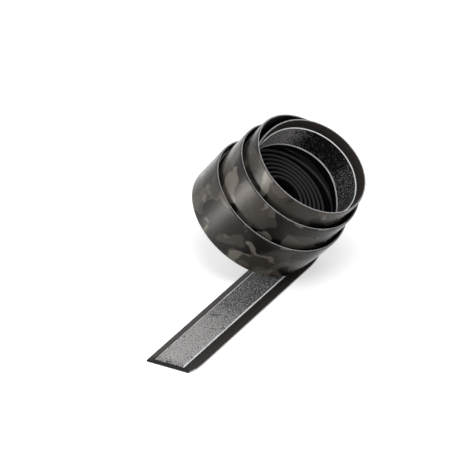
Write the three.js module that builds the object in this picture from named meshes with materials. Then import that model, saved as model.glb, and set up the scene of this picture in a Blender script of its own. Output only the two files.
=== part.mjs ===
// A roll of cushioned handlebar tape, drawn out like a telescope, with its loose tail.
// Millimetres, +Z up. The tail lies flat along -Y, its cut end farthest from the roll, and the
// mouth of the roll leans towards +X. The origin is on the floor, under the middle of the roll's
// bounding box.

import * as THREE from "three";

// Section of the tape. It is wound with its padded face inward.
const tapeWidth = 30;
const tapeThickness = 2.2;
const edgeThickness = 1.1;
const edgeRound = 0.35;
const marginWidth = 5.2;

// Adhesive strip and its release film along the padded face.
const stripThickness = 0.4;
const stripInset = 0.3;
const seatGap = 0.3;

// Winding.
const turnGap = 0.35;
const coreRadius = 10.5;
const turns = 10.8;
const stepsPerTurn = 30;

// How far the mouth-side edge of each turn stands along the roll's axis, against the edge at turn 1,
// in widths of the tape. Turns are counted from the foot of the roll inward.
const telescope = [
  [0.25, -0.6],
  [0.5, -0.4],
  [1, 0],
  [1.5, 0.383],
  [2, 0.65],
  [2.5, 0.867],
  [3, 1.083],
  [3.25, 1.05],
  [3.5, 0.767],
  [3.75, 0.367],
  [4, 0.1],
  [4.5, -0.167],
];

// Attitude of the roll, in degrees: its axis above the floor, and its turn against the tail.
const axisElevation = 51.4;
const rollSkew = 3;

// The tail, from the foot of the roll to its cut end, and the place where it starts to lift off the
// floor behind the foot. It meets the winding at joinTurn, and the two ease shares, of the roll's
// radius, say how slowly the curve between them leaves the floor and the winding.
const tailLength = 142;
const liftOff = 8;
const joinTurn = 0.3;
const floorEase = 0.77;
const windingEase = 0.55;
const liftSteps = 16;
const tailSteps = 8;

// The roll's lowest corner stands just above the tail, and this far past its mouth-side edge.
const footGap = 0.3;
const footOverhang = 1.5;

const pitch = tapeThickness + seatGap + stripThickness + turnGap;
const outerFaceAtCore = coreRadius + tapeThickness;
const rollRadius = outerFaceAtCore + pitch * turns;
const up = new THREE.Vector3(0, 0, 1);
const elevation = THREE.MathUtils.degToRad(axisElevation);
const skew = THREE.MathUtils.degToRad(rollSkew);
const outward = new THREE.Vector3(Math.cos(skew), -Math.sin(skew), 0);
const tailward = new THREE.Vector3(-Math.sin(skew), -Math.cos(skew), 0);
const axis = outward.clone().multiplyScalar(Math.cos(elevation)).addScaledVector(up, Math.sin(elevation));
const down = outward.clone().multiplyScalar(Math.sin(elevation)).addScaledVector(up, -Math.cos(elevation));

// Smooth curve through the telescope's points, level before the first and after the last.
function edgeReach(turn) {
  const last = telescope.length - 1;
  const slopeAt = (i) => {
    if (i === 0 || i === last) {
      return 0;
    }
    const [beforeTurn, before] = telescope[i - 1];
    const [afterTurn, after] = telescope[i + 1];
    return (after - before) / (afterTurn - beforeTurn);
  };
  if (turn <= telescope[0][0]) {
    return telescope[0][1];
  }
  if (turn >= telescope[last][0]) {
    return telescope[last][1];
  }
  const i = telescope.findIndex((point) => point[0] > turn) - 1;
  const [fromTurn, from] = telescope[i];
  const [toTurn, to] = telescope[i + 1];
  const span = toTurn - fromTurn;
  const s = (turn - fromTurn) / span;
  const ease = s * s * (3 - 2 * s);
  const leaving = s * (1 - s) * (1 - s) * span * slopeAt(i);
  const arriving = s * s * (1 - s) * span * slopeAt(i + 1);
  return from + (to - from) * ease + leaving - arriving;
}

// Middle of the tape's outer face at a turn, with the roll's axis through zero.
function windingPoint(turn) {
  const angle = 2 * Math.PI * turn;
  const radius = outerFaceAtCore + pitch * (turns - turn);
  return down.clone().multiplyScalar(radius * Math.cos(angle))
    .addScaledVector(tailward, -radius * Math.sin(angle))
    .addScaledVector(axis, tapeWidth * (edgeReach(turn) - 0.5));
}

function windingNormal(turn) {
  const angle = 2 * Math.PI * turn;
  return down.clone().multiplyScalar(Math.cos(angle)).addScaledVector(tailward, -Math.sin(angle));
}

// Lowest corner of the roll: on the back edge, near the foot end of the first whole turn.
function lowestCorner() {
  const searchFrom = 0.8;
  const searchTo = 1.2;
  const searchStep = 0.005;
  let lowest = null;
  for (let turn = searchFrom; turn < searchTo; turn += searchStep) {
    const corner = windingPoint(turn).addScaledVector(axis, -tapeWidth / 2);
    if (!lowest || corner.z < lowest.z) {
      lowest = corner;
    }
  }
  return lowest;
}

const foot = new THREE.Vector3(tapeWidth / 2 + footOverhang, 0, edgeThickness + footGap);
const rollCentre = foot.sub(lowestCorner());

// Stations from the open core out to the cut end of the tail. Each has the middle of the outer face,
// the direction out of the roll and the direction towards the mouth.
function tapeStations() {
  const stations = [];
  const lastStep = Math.ceil(joinTurn * stepsPerTurn);
  for (let step = Math.floor(turns * stepsPerTurn); step >= lastStep; step -= 1) {
    const turn = step / stepsPerTurn;
    stations.push({ at: windingPoint(turn).add(rollCentre), out: windingNormal(turn), wide: axis.clone() });
  }

  const join = stations[stations.length - 1].at;
  const beforeJoin = stations[stations.length - 2].at;
  const leaving = join.clone().sub(beforeJoin).normalize();
  const landing = new THREE.Vector3(0, liftOff, 0);
  const lift = new THREE.CubicBezierCurve3(
    join,
    join.clone().addScaledVector(leaving, windingEase * rollRadius),
    landing.clone().add(new THREE.Vector3(0, floorEase * rollRadius, 0)),
    landing,
  );
  const flatWidth = new THREE.Vector3(1, 0, 0);
  for (let step = 1; step < liftSteps; step += 1) {
    const s = step / liftSteps;
    const along = lift.getTangent(s);
    const untwist = THREE.MathUtils.smoothstep(s, 0, 1);
    const wide = axis.clone().lerp(flatWidth, untwist);
    wide.addScaledVector(along, -wide.dot(along)).normalize();
    stations.push({ at: lift.getPoint(s), out: wide.clone().cross(along), wide });
  }

  for (let step = 0; step <= tailSteps; step += 1) {
    const y = THREE.MathUtils.lerp(liftOff, -tailLength, step / tailSteps);
    stations.push({ at: new THREE.Vector3(0, y, 0), out: up.clone().negate(), wide: flatWidth.clone() });
  }
  return stations;
}

// Closed solid through the outline's copies at every station. Every side face is split from its mouth
// side to its back side, so that faces that lie one over another keep their gap where the tape twists.
function sweep(stations, outline) {
  const count = outline.length;
  const corners = [];
  for (const { at, out, wide } of stations) {
    for (const [outwardOffset, wideOffset] of outline) {
      const corner = at.clone().addScaledVector(out, outwardOffset).addScaledVector(wide, wideOffset);
      corners.push(corner);
    }
  }

  const faces = [];
  for (let ring = 0; ring < stations.length - 1; ring += 1) {
    for (let k = 0; k < count; k += 1) {
      const next = (k + 1) % count;
      const [near, nearNext] = [ring * count + k, ring * count + next];
      const [far, farNext] = [near + count, nearNext + count];
      const runsBack = outline[k][1] > outline[next][1];
      if (runsBack) {
        faces.push(near, nearNext, farNext, near, farNext, far);
      } else {
        faces.push(near, nearNext, far, nearNext, farNext, far);
      }
    }
  }

  const flat = outline.map(([outwardOffset, wideOffset]) => new THREE.Vector2(outwardOffset, wideOffset));
  const lastRing = (stations.length - 1) * count;
  for (const [a, b, c] of THREE.ShapeUtils.triangulateShape(flat, [])) {
    faces.push(c, b, a, lastRing + a, lastRing + b, lastRing + c);
  }

  const geometry = new THREE.BufferGeometry().setFromPoints(corners);
  geometry.setIndex(faces);
  geometry.computeVertexNormals();
  return geometry;
}

// Outlines are measured outward from the outer face, and towards the mouth from the tape's middle.
// They run counterclockwise as seen from the cut end of the tail.
function tapeOutline() {
  const half = tapeWidth / 2;
  const padHalf = half - marginWidth;
  return [
    [0, half - edgeRound],
    [-edgeRound, half],
    [-edgeThickness, half],
    [-tapeThickness, padHalf],
    [-tapeThickness, -padHalf],
    [-edgeThickness, -half],
    [-edgeRound, -half],
    [0, -half + edgeRound],
  ];
}

function stripOutline() {
  const half = tapeWidth / 2 - marginWidth - stripInset;
  const near = -tapeThickness - seatGap;
  const far = near - stripThickness;
  return [
    [near, half],
    [far, half],
    [far, -half],
    [near, -half],
  ];
}

function mesh(name, geometry, color, roughness) {
  const material = new THREE.MeshStandardMaterial({ color, roughness, metalness: 0 });
  const piece = new THREE.Mesh(geometry, material);
  piece.name = name;
  return piece;
}

const stations = tapeStations();
const tape = mesh("tape", sweep(stations, tapeOutline()), 0x3b3733, 0.55);
const strip = mesh("backing_strip", sweep(stations, stripOutline()), 0x5a5a5c, 0.4);

// The group moves the model so that the origin is under the middle of its bounding box.
const roll = new THREE.Group();
roll.add(tape, strip);
const bounds = new THREE.Box3().setFromObject(roll);
const middle = bounds.getCenter(new THREE.Vector3());
roll.position.set(-middle.x, -middle.y, -bounds.min.z);
roll.updateMatrixWorld(true);

export default roll;
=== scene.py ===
import math

import bmesh
import bpy
from mathutils import Matrix, Vector


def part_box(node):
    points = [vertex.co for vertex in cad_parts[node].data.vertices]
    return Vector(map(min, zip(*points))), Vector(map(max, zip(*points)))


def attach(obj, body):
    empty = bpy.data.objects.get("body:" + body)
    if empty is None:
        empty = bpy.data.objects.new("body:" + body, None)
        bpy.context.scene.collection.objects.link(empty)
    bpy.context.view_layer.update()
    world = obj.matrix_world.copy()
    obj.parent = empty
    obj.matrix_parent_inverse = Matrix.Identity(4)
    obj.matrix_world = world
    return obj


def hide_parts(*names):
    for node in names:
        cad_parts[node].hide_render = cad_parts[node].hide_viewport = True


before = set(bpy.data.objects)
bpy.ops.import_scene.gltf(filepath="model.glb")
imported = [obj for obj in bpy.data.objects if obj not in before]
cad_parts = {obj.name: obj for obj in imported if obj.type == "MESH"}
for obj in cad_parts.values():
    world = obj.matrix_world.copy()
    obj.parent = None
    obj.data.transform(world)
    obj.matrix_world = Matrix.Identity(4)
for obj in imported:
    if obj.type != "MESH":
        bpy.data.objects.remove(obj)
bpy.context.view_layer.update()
scene = bpy.context.scene
scene.view_settings.view_transform = "Standard"

# Camera
# A long lens beyond the end of the tail, on the side of the mouth. It looks down on the tail and into
# the mouth, and is aimed to the left of the roll and below it, so that the tail comes into view.

view_azimuth = math.radians(28.9)
view_elevation = math.radians(28.4)
view_distance = 2.4
view_lens = 300.5
view_right = Vector((math.cos(view_azimuth), math.sin(view_azimuth), 0))
view_forward = Vector((
    -math.sin(view_azimuth) * math.cos(view_elevation),
    math.cos(view_azimuth) * math.cos(view_elevation),
    -math.sin(view_elevation),
))
view_up = view_right.cross(view_forward)
middle_of_winding = Vector((0.0063, 0.0498, 0.0523))
aim_left = 0.0358
aim_below = 0.0248
aim = middle_of_winding - aim_left * view_right - aim_below * view_up

camera = bpy.data.objects.new("camera", bpy.data.cameras.new("camera"))
camera.data.lens = view_lens
camera.data.sensor_width = 36
camera.data.clip_start = 0.05
camera.data.clip_end = 50
camera.location = aim - view_distance * view_forward
camera.rotation_mode = "QUATERNION"
camera.rotation_quaternion = view_forward.to_track_quat("-Z", "Y")
scene.collection.objects.link(camera)
scene.camera = camera

# Floor and light
# A pale matt floor that runs far out, and an even white surround. A small low lamp stands close by on
# the left, and larger soft ones on the right, above and behind. The floor keeps the roll's shadow,
# and glows at only half strength, because the lamps light it as well.

floor_size = 12
floor_grey = (0.86, 0.86, 0.86, 1)
floor_roughness = 0.95
floor_glow = 0.5
surround_light = 0.32
white = (1, 1, 1, 1)


def node(tree, kind, inputs=None, **settings):
    # A shader node. Each input is a plain value, or the socket of another node that feeds it.
    made = tree.nodes.new(kind)
    for name, value in settings.items():
        setattr(made, name, value)
    for socket, value in (inputs or {}).items():
        if isinstance(value, bpy.types.NodeSocket):
            tree.links.new(value, made.inputs[socket])
        else:
            made.inputs[socket].default_value = value
    return made


def figured(tree, operation, *values, **settings):
    made = node(tree, "ShaderNodeMath", dict(enumerate(values)), operation=operation, **settings)
    return made.outputs[0]


def background_share(tree, strength=1.0):
    # The strength where a ray comes straight from the camera, by a reflection or through something
    # clear, and 0 for the rays that light the object.
    path = node(tree, "ShaderNodeLightPath").outputs
    seen = figured(tree, "MAXIMUM", path["Is Camera Ray"], path["Is Glossy Ray"])
    seen = figured(tree, "MAXIMUM", seen, path["Is Transmission Ray"])
    return figured(tree, "MULTIPLY", seen, strength)


def empty_material(name):
    material = bpy.data.materials.new(name)
    material.use_nodes = True
    material.node_tree.nodes.clear()
    return material, material.node_tree


def surface(tree, inputs):
    shader = node(tree, "ShaderNodeBsdfPrincipled", inputs)
    node(tree, "ShaderNodeOutputMaterial", {"Surface": shader.outputs[0]})


floor_mesh = bpy.data.meshes.new("floor")
floor_bm = bmesh.new()
bmesh.ops.create_grid(floor_bm, x_segments=1, y_segments=1, size=floor_size / 2)
floor_bm.to_mesh(floor_mesh)
floor_bm.free()
floor = bpy.data.objects.new("floor", floor_mesh)
scene.collection.objects.link(floor)

floor_paint, tree = empty_material("floor_paint")
surface(tree, {
    "Base Color": floor_grey,
    "Roughness": floor_roughness,
    "Specular IOR Level": 0.0,
    "Emission Color": white,
    "Emission Strength": background_share(tree, floor_glow),
})
floor_mesh.materials.append(floor_paint)

world = bpy.data.worlds.new("studio")
scene.world = world
world.use_nodes = True
tree = world.node_tree
tree.nodes.clear()
soft_surround = node(tree, "ShaderNodeBackground", {"Color": white, "Strength": surround_light})
white_surround = node(tree, "ShaderNodeBackground", {"Color": white, "Strength": 1.0})
both = node(tree, "ShaderNodeMixShader", {
    0: background_share(tree), 1: soft_surround.outputs[0], 2: white_surround.outputs[0]})
node(tree, "ShaderNodeOutputWorld", {"Surface": both.outputs[0]})


def soft_lamp(name, place, size, power):
    data = bpy.data.lights.new(name, "AREA")
    data.shape = "RECTANGLE"
    data.size, data.size_y = size
    data.energy = power
    lamp = bpy.data.objects.new(name, data)
    lamp.location = place
    lamp.rotation_mode = "QUATERNION"
    lamp.rotation_quaternion = (middle_of_winding - Vector(place)).to_track_quat("-Z", "Y")
    scene.collection.objects.link(lamp)


soft_lamp("lamp_left", place=(-0.273, -0.193, 0.030), size=(0.08, 0.05), power=0.80)
soft_lamp("lamp_right", place=(0.75, -0.95, 0.30), size=(0.5, 0.4), power=4.0)
soft_lamp("lamp_above", place=(0.3, -0.35, 1.3), size=(0.7, 0.7), power=8.0)
soft_lamp("lamp_behind", place=(-0.45, 1.2, 0.55), size=(0.9, 0.5), power=5.0)

# The tape
# Two metres of cushioned tape: a soft foam strip with a printed satin skin on its outer face, a pad
# along the middle of the inner face and thinner margins beside it. It is cut to width from a sheet,
# so the pale foam shows at the two edges, and it is wound up tightly by machine.

tape_width = 0.030
tape_half = tape_width / 2
tape_thickness = 0.0022
tape_edge_thickness = 0.0011
pad_half = 0.0098
film_thickness = 0.0004
film_gap = 0.0003
turn_gap = 0.00035
core_radius = 0.0105
turns = 10.8
turn_pitch = tape_thickness + film_gap + film_thickness + turn_gap
outer_face_at_core = core_radius + tape_thickness
winding_radius = outer_face_at_core + turn_pitch * turns

# How far each turn is drawn out, in widths of the tape, by the turn counted from the foot inward.
drawn_out = [(0.25, -0.6), (0.5, -0.4), (1, 0), (1.5, 0.383), (2, 0.65), (2.5, 0.867), (3, 1.083),
             (3.25, 1.05), (3.5, 0.767), (3.75, 0.367), (4, 0.1), (4.5, -0.167)]

# Round the mouth the innermost drawn-out lap sits loose. By turn again, how far it comes inward, in
# metres, and how far its front edge flares out, in degrees.
lap_inset = [(2.8, 0), (3.05, 0.0005), (3.2, 0.0004), (3.35, 0.0008), (3.5, 0.0023), (3.58, 0.0012),
             (3.68, 0)]
lap_flare = [(2.8, 0), (3.0, 1.0), (3.12, 9.0), (3.24, 2.0), (3.4, 1.0), (3.6, 0)]

# The roll leans over towards its mouth, and is turned a little against the tail.
lean = math.radians(51.4)
skew = math.radians(3)
up = Vector((0, 0, 1))
outward = Vector((math.cos(skew), -math.sin(skew), 0))
tailward = Vector((-math.sin(skew), -math.cos(skew), 0))
winding_axis = outward * math.cos(lean) + up * math.sin(lean)
winding_down = outward * math.sin(lean) - up * math.cos(lean)

# The tail lies flat to a little behind the foot, and then lifts to meet the winding at the join. The
# two eases, in radii of the roll, say how slowly it leaves the floor and comes to the winding.
tail_length = 0.142
lift_off = 0.008
join_turn = 0.3
floor_ease = 0.77
winding_ease = 0.55

# The roll's lowest corner stands over the tail, by this gap, and this far past the tail's edge.
foot_gap = 0.0003
foot_overhang = 0.0015

# The foot is found from the cut end of the tail in the frame.
at_cut_end = 0.00001
tail_end_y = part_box("tape")[0].y
tape_corners = [vertex.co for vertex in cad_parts["tape"].data.vertices]
tail_end_x = [corner.x for corner in tape_corners if corner.y < tail_end_y + at_cut_end]
foot_of_tail = Vector(((min(tail_end_x) + max(tail_end_x)) / 2, tail_end_y + tail_length, 0))


def through(points, where):
    # A smooth curve through the points, level before the first and after the last.
    last = len(points) - 1

    def slope_at(i):
        if i in (0, last):
            return 0
        (before_where, before), (after_where, after) = points[i - 1], points[i + 1]
        return (after - before) / (after_where - before_where)

    if where <= points[0][0]:
        return points[0][1]
    if where >= points[last][0]:
        return points[last][1]
    i = max(k for k in range(last) if points[k][0] <= where)
    (start_where, start), (end_where, end) = points[i], points[i + 1]
    span = end_where - start_where
    s = (where - start_where) / span
    level = start + (end - start) * s * s * (3 - 2 * s)
    return level + s * (1 - s) ** 2 * span * slope_at(i) - s * s * (1 - s) * span * slope_at(i + 1)


def winding_point(turn):
    # The middle of the tape's outer face, with the roll's middle at zero.
    angle = 2 * math.pi * turn
    radius = outer_face_at_core + turn_pitch * (turns - turn)
    return (winding_down * radius * math.cos(angle) - tailward * radius * math.sin(angle)
            + winding_axis * tape_width * (through(drawn_out, turn) - 0.5))


def station(at, out, wide):
    # A section's own axes, out of the roll and towards the mouth, set at a point of the outer face.
    along = out.cross(wide)
    return Matrix((
        (out.x, wide.x, along.x, at.x),
        (out.y, wide.y, along.y, at.y),
        (out.z, wide.z, along.z, at.z),
        (0, 0, 0, 1),
    ))


def winding_station(turn, centre):
    # The lap's inset and flare turn about its front edge.
    angle = 2 * math.pi * turn
    flare = math.radians(through(lap_flare, turn))
    round_out = winding_down * math.cos(angle) - tailward * math.sin(angle)
    wide = winding_axis * math.cos(flare) + round_out * math.sin(flare)
    out = round_out * math.cos(flare) - winding_axis * math.sin(flare)
    front_edge = winding_point(turn) + centre + winding_axis * tape_half
    front_edge = front_edge - round_out * through(lap_inset, turn)
    return station(front_edge - wide * tape_half, out, wide)


def lowest_corner():
    # On the back edge of the tape, near the end of the first whole turn.
    search_from = 0.8
    search_step = 0.005
    search_steps = 81
    corners = [winding_point(search_from + k * search_step) - winding_axis * tape_half
               for k in range(search_steps)]
    return min(corners, key=lambda corner: corner.z)


def tape_stations(tail_steps=24, lift_steps=48, steps_per_turn=84):
    # From the cut end of the tail to the open core.
    foot = foot_of_tail + Vector((tape_half + foot_overhang, 0, tape_edge_thickness + foot_gap))
    centre = foot - lowest_corner()
    flat_width = Vector((1, 0, 0))
    stations = []
    for step in range(tail_steps + 1):
        y = -tail_length + (tail_length + lift_off) * step / tail_steps
        stations.append(station(foot_of_tail + Vector((0, y, 0)), -up, flat_width))

    # The lift is a cubic curve from a, where it leaves the floor, to d on the winding.
    next_point = winding_point(join_turn + 1 / steps_per_turn)
    leaving = (winding_point(join_turn) - next_point).normalized()
    a = foot_of_tail + Vector((0, lift_off, 0))
    b = a + Vector((0, floor_ease * winding_radius, 0))
    d = winding_point(join_turn) + centre
    c = d + leaving * winding_ease * winding_radius
    for step in range(1, lift_steps):
        s = step / lift_steps
        at = (1 - s) ** 3 * a + 3 * s * (1 - s) ** 2 * b + 3 * s * s * (1 - s) * c + s ** 3 * d
        along = 3 * (1 - s) ** 2 * (b - a) + 6 * s * (1 - s) * (c - b) + 3 * s * s * (d - c)
        along = -along.normalized()
        twist = 1 - s
        wide = winding_axis.lerp(flat_width, twist * twist * (3 - 2 * twist))
        wide = (wide - along * wide.dot(along)).normalized()
        stations.append(station(at, wide.cross(along), wide))

    first = math.ceil(join_turn * steps_per_turn)
    for step in range(first, math.floor(turns * steps_per_turn) + 1):
        stations.append(winding_station(step / steps_per_turn, centre))
    return stations


# Where the tail lies flat, its front half spreads a little. Counted from the cut end, the spread
# starts to fade at one length and is gone at the other. The front corner of the cut is rounded off.
tail_spread = 0.0015
spread_fades = 0.165
spread_ends = 0.215
corner_cut = 0.0024
corner_length = 0.011

# Where the roll stands on the tail, the lowest lap is pressed in, by the length from the cut end. The
# press starts this many widths of the tape in front of its middle, and grows to the back edge.
foot_press = [(0.402, 0), (0.415, 0.0016), (0.429, 0.0030), (0.443, 0.0016), (0.456, 0)]
press_from = 0.4


def clamped(share):
    return min(max(share, 0), 1)


def slack(across, length):
    # How far a corner is off the plain winding, outward and towards the mouth.
    front = clamped(across / pad_half)
    margin = clamped((across - pad_half) / (tape_half - pad_half))
    flat = clamped((spread_ends - length) / (spread_ends - spread_fades))
    trim = max(1 - length / corner_length, 0) ** 2
    back = max(press_from - across / tape_width, 0) / (press_from + 0.5)
    inward = through(foot_press, length) * back ** 2
    return -inward, front * tail_spread * flat * flat * (3 - 2 * flat) - margin * corner_cut * trim


def wind_up(name, outline, stations, materials, material_at, end_material):
    # Draws the outline along the stations, and writes on every corner its place on the flat tape:
    # across, along from the cut end, and out of the outer face.
    bm = bmesh.new()
    flat_place = bm.verts.layers.float_vector.new("flat_place")
    ring = [bm.verts.new((out, wide, 0)) for out, wide in outline]
    for corner in ring:
        corner[flat_place] = (corner.co.y, 0, corner.co.x)
    end_cap = bm.faces.new(ring)
    front = list(end_cap.edges)
    bmesh.ops.transform(bm, matrix=stations[0], verts=ring)
    corners = [(corner, stations[0]) for corner in ring]
    length = 0
    for before, after in zip(stations, stations[1:]):
        length += (after.translation - before.translation).length
        drawn = bmesh.ops.extrude_edge_only(bm, edges=front)["geom"]
        ring = [g for g in drawn if isinstance(g, bmesh.types.BMVert)]
        front = [g for g in drawn if isinstance(g, bmesh.types.BMEdge)]
        bmesh.ops.transform(bm, matrix=after @ before.inverted(), verts=ring)
        for corner in ring:
            place = corner[flat_place]
            corner[flat_place] = (place.x, length, place.z)
            corners.append((corner, after))
    bmesh.ops.holes_fill(bm, edges=front, sides=len(outline))
    for corner, at in corners:
        outward_shift, wide_shift = slack(*corner[flat_place][:2])
        corner.co += outward_shift * at.col[0].to_3d() + wide_shift * at.col[1].to_3d()
    bmesh.ops.recalc_face_normals(bm, faces=bm.faces)
    for face in bm.faces:
        places = [corner[flat_place] for corner in face.verts]
        middle = sum(places, Vector()) / len(places)
        is_end = len(places) > 4
        face.material_index = end_material if is_end else material_at(*middle)
        face.smooth = not is_end
    mesh = bpy.data.meshes.new(name)
    bm.to_mesh(mesh)
    bm.free()
    for material in materials:
        mesh.materials.append(material)
    piece = bpy.data.objects.new(name, mesh)
    scene.collection.objects.link(piece)
    return piece


def place_on_tape(tree):
    # The place that wind_up wrote on the corners.
    return node(tree, "ShaderNodeAttribute", attribute_name="flat_place").outputs["Vector"]


def across_and_length(tree, place):
    parts = node(tree, "ShaderNodeSeparateXYZ", {0: place}).outputs
    return parts["X"], parts["Y"]


def noise(tree, place, scale, detail, roughness=0.5, distortion=0.0):
    made = node(tree, "ShaderNodeTexNoise", {"Vector": place, "Scale": scale, "Detail": detail,
                                             "Roughness": roughness, "Distortion": distortion})
    return made.outputs["Fac"]


def soft_step(tree, value, low, high):
    # A share that grows softly from 0 at low to 1 at high, which may be the smaller number.
    made = node(tree, "ShaderNodeMapRange", {"Value": value, "From Min": low, "From Max": high},
                interpolation_type="SMOOTHSTEP")
    return made.outputs["Result"]


def ranged(tree, share, at_none, at_full):
    made = node(tree, "ShaderNodeMapRange", {"Value": share, "To Min": at_none, "To Max": at_full})
    return made.outputs["Result"]


def blended(tree, share, first, second):
    mixed = node(tree, "ShaderNodeMix", data_type="RGBA")
    sockets = [mixed.inputs[i] for i in (0, 6, 7)]
    for socket, value in zip(sockets, (share, first, second)):
        if isinstance(value, bpy.types.NodeSocket):
            tree.links.new(value, socket)
        else:
            socket.default_value = value
    return mixed.outputs[2]


def bumped(tree, height, strength, distance):
    made = node(tree, "ShaderNodeBump", {"Height": height, "Strength": strength, "Distance": distance})
    return made.outputs[0]


# Printed skin: four dark warm greys in soft-edged patches, over a fine leathery grain. A patch is a
# little longer along the tape than across it, and the skin shines more where it is seen at a slant.
skin_ground = (0.030, 0.026, 0.0225, 1)
skin_dark = (0.0040, 0.0036, 0.0034, 1)
skin_mid = (0.056, 0.049, 0.042, 1)
skin_light = (0.100, 0.089, 0.077, 1)
skin_glint = (1.0, 0.93, 0.86, 1)
patch_stretch = (1, 0.85, 1)
patch_softness = 0.03
grain_scale = 2600
cloud_scale = 160


def printed_patches(tree, place, scale, shift, level):
    # The higher the level, the fewer the patches.
    moved = node(tree, "ShaderNodeMapping", {
        "Vector": place, "Location": shift, "Scale": patch_stretch})
    patches = noise(tree, moved.outputs[0], scale, detail=2.0, roughness=0.42, distortion=0.12)
    return soft_step(tree, patches, level, level + patch_softness)


def printed_skin():
    material, tree = empty_material("tape_skin")
    place = place_on_tape(tree)
    grain = noise(tree, place, grain_scale, detail=3.0)
    cloud = noise(tree, place, cloud_scale, detail=3.0)
    mid_share = printed_patches(tree, place, scale=62, shift=(0.31, 0.17, 0.05), level=0.53)
    light_share = printed_patches(tree, place, scale=70, shift=(0.13, 0.59, 0.33), level=0.58)
    dark_share = printed_patches(tree, place, scale=50, shift=(0.47, 0.05, 0.29), level=0.52)
    colour = blended(tree, mid_share, skin_ground, skin_mid)
    colour = blended(tree, dark_share, colour, skin_dark)
    colour = blended(tree, light_share, colour, skin_light)
    cloudy = ranged(tree, cloud, 0.75, 1.25)
    shade = node(tree, "ShaderNodeVectorMath", {0: colour, 1: cloudy}, operation="MULTIPLY")

    patch_roughness = ranged(tree, light_share, 0.30, 0.25)
    roughness = figured(tree, "MULTIPLY_ADD", grain, 0.12, patch_roughness)
    facing = node(tree, "ShaderNodeLayerWeight", {"Blend": 0.5})
    slant_share = soft_step(tree, facing.outputs["Facing"], 0.55, 0.9)
    roughness = figured(tree, "MULTIPLY", roughness, ranged(tree, slant_share, 1.0, 0.35))
    surface(tree, {
        "Base Color": shade.outputs[0],
        "Roughness": roughness,
        "IOR": 1.5,
        "Specular IOR Level": 0.22,
        "Specular Tint": skin_glint,
        "Normal": bumped(tree, grain, strength=0.3, distance=0.0002),
    })
    return material


# Cut edge: the pale foam under the skin, with open pores. On its way into the coil it is painted
# dark: painted shade.
foam_pore = (0.20, 0.195, 0.20, 1)
foam_pale = (0.42, 0.41, 0.42, 1)
foam_coil_shade = (0.020, 0.0195, 0.020, 1)
pore_scale = 1900
foam_shade_starts = 1.075
foam_shade_full = 1.10


def cut_foam():
    material, tree = empty_material("tape_cut_edge")
    place = place_on_tape(tree)
    length = across_and_length(tree, place)[1]
    pores = noise(tree, place, pore_scale, detail=3.0)
    pore_share = soft_step(tree, pores, 0.35, 0.6)
    colour = blended(tree, pore_share, foam_pore, foam_pale)
    # Painted shade: the pale foam is painted dark on its way into the coil.
    coil_shade_share = soft_step(tree, length, foam_shade_starts, foam_shade_full)
    surface(tree, {
        "Base Color": blended(tree, coil_shade_share, colour, foam_coil_shade),
        "Roughness": 0.6,
        "Normal": bumped(tree, pores, strength=0.5, distance=0.0003),
    })
    return material


# Lining: near-black brown foam, lighter along both margins. Painted shade makes it black where little
# light comes to it: under another lap, at its back round the mouth, on its way into the coil and at
# the cut end.
lining_pad = (0.006, 0.0055, 0.0055, 1)
lining_margin = (0.024, 0.0165, 0.0132, 1)
lining_fibre = (0.015, 0.0115, 0.0098, 1)
lining_painted_shade = (0.003, 0.003, 0.003, 1)
lining_coil_shade = (0.0035, 0.0035, 0.0035, 1)
lining_coil_rim_shade = (0.015, 0.0145, 0.015, 1)
lining_cut_end_shade = (0.001, 0.001, 0.001, 1)
fibre_scale = 1500
back_margin_from = -0.0104


def foam_lining():
    material, tree = empty_material("tape_lining")
    place = place_on_tape(tree)
    across, length = across_and_length(tree, place)
    fibres = noise(tree, place, fibre_scale, detail=4.0)
    margin_share = soft_step(tree, figured(tree, "ABSOLUTE", across), 0.0118, 0.0126)
    fibre_share = soft_step(tree, fibres, 0.35, 0.65)
    colour = blended(tree, margin_share, lining_pad, lining_margin)
    colour = blended(tree, fibre_share, colour, lining_fibre)

    # Painted shade: black under another lap, and at the back of the lap round the mouth.
    back_share = soft_step(tree, across, -pad_half, back_margin_from)
    mouth_share = soft_step(tree, length, 0.70, 0.85)
    back_shade_in_mouth = figured(tree, "MULTIPLY", back_share, mouth_share)
    past_lift = soft_step(tree, length, 0.23, 0.27)
    before_mouth = soft_step(tree, length, 0.85, 0.80)
    shade_under_lap = figured(tree, "MULTIPLY", past_lift, before_mouth)
    lining_shade_share = figured(tree, "MAXIMUM", back_shade_in_mouth, shade_under_lap)
    colour = blended(tree, lining_shade_share, colour, lining_painted_shade)

    # Painted shade on the way into the coil, a little less dark at the front rim.
    rim_share = soft_step(tree, across, 0.0126, 0.0146)
    coil_shade_colour = blended(tree, rim_share, lining_coil_shade, lining_coil_rim_shade)
    coil_shade_share = soft_step(tree, length, 1.065, 1.09)
    colour = blended(tree, coil_shade_share, colour, coil_shade_colour)
    # Painted shade at the cut end.
    cut_end_shade_share = soft_step(tree, length, 0.0016, 0.0011)
    surface(tree, {
        "Base Color": blended(tree, cut_end_shade_share, colour, lining_cut_end_shade),
        "Roughness": 0.6,
        "Specular IOR Level": 0.25,
        "Normal": bumped(tree, fibres, strength=0.4, distance=0.0002),
    })
    return material


# Painted shade: inside the coil, and along the back behind the mouth, the lining and the cut edges
# are painted black. A paler rim along the front edge, the foam's painted shade, shows where the turns
# of the coil end.
# Lengths from the cut end where the painted shade starts: for the lining, the front edge and the back.
coil_from = 1.072
edge_shade_from = 1.10
back_shade_from = 0.85
coil_shade_black = (0.0010, 0.0010, 0.0010, 1)
coil_rim_shade = (0.055, 0.053, 0.055, 1)
unlit_roughness = 0.8
unlit_gloss = 0.08


def painted_shade_lining():
    material, tree = empty_material("tape_lining_painted_shade")
    across = across_and_length(tree, place_on_tape(tree))[0]
    rim_share = soft_step(tree, across, 0.0139, 0.0146)
    surface(tree, {
        "Base Color": blended(tree, rim_share, coil_shade_black, coil_rim_shade),
        "Roughness": unlit_roughness,
        "Specular IOR Level": unlit_gloss,
    })
    return material


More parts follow.
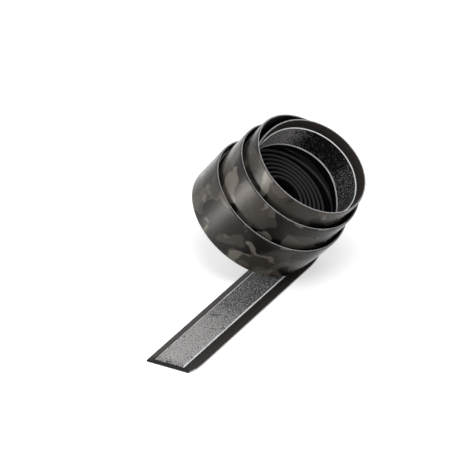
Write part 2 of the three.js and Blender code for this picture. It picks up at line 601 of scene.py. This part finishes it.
# Half of the section, out of the outer face and across, from the middle of that face round the edge
# to the middle of the pad. The front margin is a little wider than the back one, and the pad's front
# corner a little nearer to the middle.
half_section = [(0, 0.0060), (0, 0.0120), (-0.00005, 0.0138), (-0.00016, 0.0146), (-0.00035, 0.0149),
                (-0.00055, 0.0150), (-0.00095, 0.0150), (-0.00112, 0.0148), (-0.00120, 0.0144),
                (-0.00160, 0.0124), (-0.00200, 0.0106), (-0.00216, 0.0100), (-0.0022, 0.0094),
                (-0.0022, 0.0040)]
front_extra = 0.0005
front_pad_less = 0.0003
pad_corner_from = 0.009
pad_corner_to = 0.0101


def front_width(wide):
    if wide > pad_corner_to:
        return wide + front_extra
    return wide - front_pad_less if wide > pad_corner_from else wide


tape_outline = [(out, front_width(wide)) for out, wide in half_section]
tape_outline += [(out, -wide) for out, wide in reversed(half_section)]

# The skin wraps over the shoulders by this depth, and the cut edge lies this close to full width.
skin_wrap = 0.0004
edge_round = 0.00015
on_skin, on_lining, on_edge, on_shaded_lining = range(4)


def tape_zone(across, length, out):
    # Which finish a face of the tape has, by its place on the flat tape.
    if out > -skin_wrap:
        return on_skin
    is_front_edge = across > tape_half + front_extra - edge_round
    is_back_edge = across < -tape_half + edge_round
    # Past these lengths the cut edges take the painted shade.
    if out > -tape_edge_thickness and (is_front_edge or is_back_edge):
        dark_from = edge_shade_from if is_front_edge else back_shade_from
        return on_shaded_lining if length > dark_from else on_edge
    is_shaded_back = across < back_margin_from and length > back_shade_from
    return on_shaded_lining if length > coil_from or is_shaded_back else on_lining


stations = tape_stations()
tape_materials = (printed_skin(), foam_lining(), cut_foam(), painted_shade_lining())
tape = wind_up("wound_tape", tape_outline, stations, tape_materials, tape_zone, on_lining)

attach(tape, "root")
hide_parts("tape")

# The backing strip
# A strip of adhesive along the pad, under a release film of pebbled plastic. The film is slit a
# little wider than the adhesive, and its two cut edges show as bright lines.

film_half = 0.0095
film_front = 0.0092
film_middle = 0.004
film_seat = -0.00222
film_face = -0.0029
film_end = 0.0012
film_round = 0.0002
front_lip = 0.0006
back_lip = 0.0008
lip_height = 0.00008
lip_softness = 0.0001

film_black = (0.005, 0.005, 0.006, 1)
film_speck = (0.32, 0.31, 0.305, 1)
film_smudge = (0.03, 0.03, 0.032, 1)
film_lip = (0.94, 0.94, 0.94, 1)
# Painted shade for the film under another lap and in the coil.
film_unlit = (0.004, 0.004, 0.004, 1)
film_coil_shade = (0.0015, 0.0015, 0.0015, 1)
pebble_scale = 1080
smudge_scale = 210
waver_scale = 130

# Lengths from the cut end. Between the lift and the mouth another lap lies over the film, and the film
# is painted dim and then dark there as painted shade, and again on its way into the coil.
film_shade_starts, film_shade_full = 0.27, 0.30
film_shade_full_to, film_shade_ends = 0.86, 0.88
film_coil_shade_starts = 1.062


def speck_and_light_level(tree, length, tail_share):
    # Specks stand out of the dark film. How close together they lie is painted light and shade: few
    # near the roll and close together towards the cut end, which paints part of the tail's sheen.
    # Round the mouth they are few at first, as painted shade, and close together on the last stretch
    # before the coil, as painted light. The lower the level, the more of them.
    level = ranged(tree, tail_share, 0.54, 0.385)
    mouth_shade_share = soft_step(tree, length, 0.982, 1.0)
    mouth_light_share = soft_step(tree, length, 1.015, 1.038)
    level = figured(tree, "MULTIPLY_ADD", mouth_shade_share, 0.10, level)
    return figured(tree, "MULTIPLY_ADD", mouth_light_share, -0.23, level)


def slit_edges(tree, place, across, length, tail_share):
    # A pale line in front, which wavers, and one behind, which breaks up along the tail. The back
    # line is finer where the tail lies flat, and wider in the mouth.
    waver = noise(tree, place, waver_scale, detail=2.0)
    waver_shift = figured(tree, "MULTIPLY_ADD", waver, 0.0008, -0.0004)
    wavering = figured(tree, "ADD", across, waver_shift)
    front_from = film_front - front_lip
    front_share = soft_step(tree, wavering, front_from - lip_softness, front_from)

    flat_share = soft_step(tree, length, 0.24, 0.19)
    mouth_share = soft_step(tree, length, 0.60, 0.70)
    back_across = figured(tree, "ADD", across, figured(tree, "MULTIPLY", flat_share, 0.0004))
    back_across = figured(tree, "MULTIPLY_ADD", mouth_share, -0.0004, back_across)
    back_from = -film_half + back_lip
    back_share = soft_step(tree, back_across, back_from + lip_softness, back_from)
    broken = node(tree, "ShaderNodeMapRange", {"Value": waver, "From Min": 0.40, "From Max": 0.58,
                                               "To Min": 0.35, "To Max": 1.0})
    faint = figured(tree, "MULTIPLY", tail_share, broken.outputs["Result"])
    back_share = figured(tree, "SUBTRACT", back_share, faint, use_clamp=True)
    return figured(tree, "MAXIMUM", front_share, back_share)


def pebbled_film():
    material, tree = empty_material("release_film")
    place = place_on_tape(tree)
    across, length = across_and_length(tree, place)
    pebbles = noise(tree, place, pebble_scale, detail=1.2, roughness=0.6)
    smudges = noise(tree, place, smudge_scale, detail=2.0)
    tail_share = soft_step(tree, length, 0.098, 0.04)
    coil_shade_share = soft_step(tree, length, film_coil_shade_starts, coil_from)
    before_mouth = soft_step(tree, length, film_shade_ends, film_shade_full_to)
    past_lift = soft_step(tree, length, film_shade_starts, film_shade_full)
    unlit_share = figured(tree, "MULTIPLY_ADD", before_mouth, past_lift, coil_shade_share)

    # Where the specks crowd or thin along the tape is painted light and shade.
    speck_height = figured(tree, "SUBTRACT", pebbles, speck_and_light_level(tree, length, tail_share))
    speck_share = soft_step(tree, speck_height, 0.0, 0.07)
    smudge_share = soft_step(tree, smudges, 0.64, 0.69)
    colour = blended(tree, speck_share, film_black, film_speck)
    colour = blended(tree, smudge_share, colour, film_smudge)
    colour = blended(tree, unlit_share, colour, film_unlit)
    lip_share = slit_edges(tree, place, across, length, tail_share)
    # The pale lines are painted out where the film is painted dark as shade.
    lip_share = figured(tree, "SUBTRACT", lip_share, unlit_share, use_clamp=True)
    surface(tree, {
        "Base Color": blended(tree, lip_share, colour, film_lip),
        "Roughness": ranged(tree, unlit_share, 0.32, unlit_roughness),
        "Specular IOR Level": 0.3,
        "Normal": bumped(tree, pebbles, strength=0.8, distance=0.0004),
    })
    return material


# Painted shade: plain black film inside the coil and under another lap.
def painted_shade_film():
    material, tree = empty_material("release_film_painted_shade")
    surface(tree, {
        "Base Color": film_coil_shade,
        "Roughness": unlit_roughness,
        "Specular IOR Level": unlit_gloss,
    })
    return material


# The film's two slit edges stand up from it, each with a rounded corner.
film_low = film_face + lip_height
film_outline = [
    (film_seat, film_front - film_round),
    (film_face + film_round, film_front),
    (film_face, film_front - film_round),
    (film_low, film_front - front_lip - film_round),
    (film_low, film_middle),
    (film_low, -film_middle),
    (film_low, -film_half + back_lip + film_round),
    (film_face, -film_half + film_round),
    (film_face + film_round, -film_half),
    (film_seat, -film_half + film_round),
]
on_film, on_shaded_film = range(2)


def film_zone(across, length, out):
    # Painted shade: the film is painted plain and dark inside the coil, and where another lap lies
    # over it.
    is_under_lap = film_shade_full < length < film_shade_full_to
    return on_shaded_film if length > coil_from or is_under_lap else on_film


# The film stops a little short of the tape's cut end.
film_stations = [Matrix.Translation((0, film_end, 0)) @ stations[0]] + stations[1:]
film_materials = (pebbled_film(), painted_shade_film())
film_strip = wind_up("film_strip", film_outline, film_stations, film_materials, film_zone, on_film)

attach(film_strip, "root")
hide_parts("backing_strip")
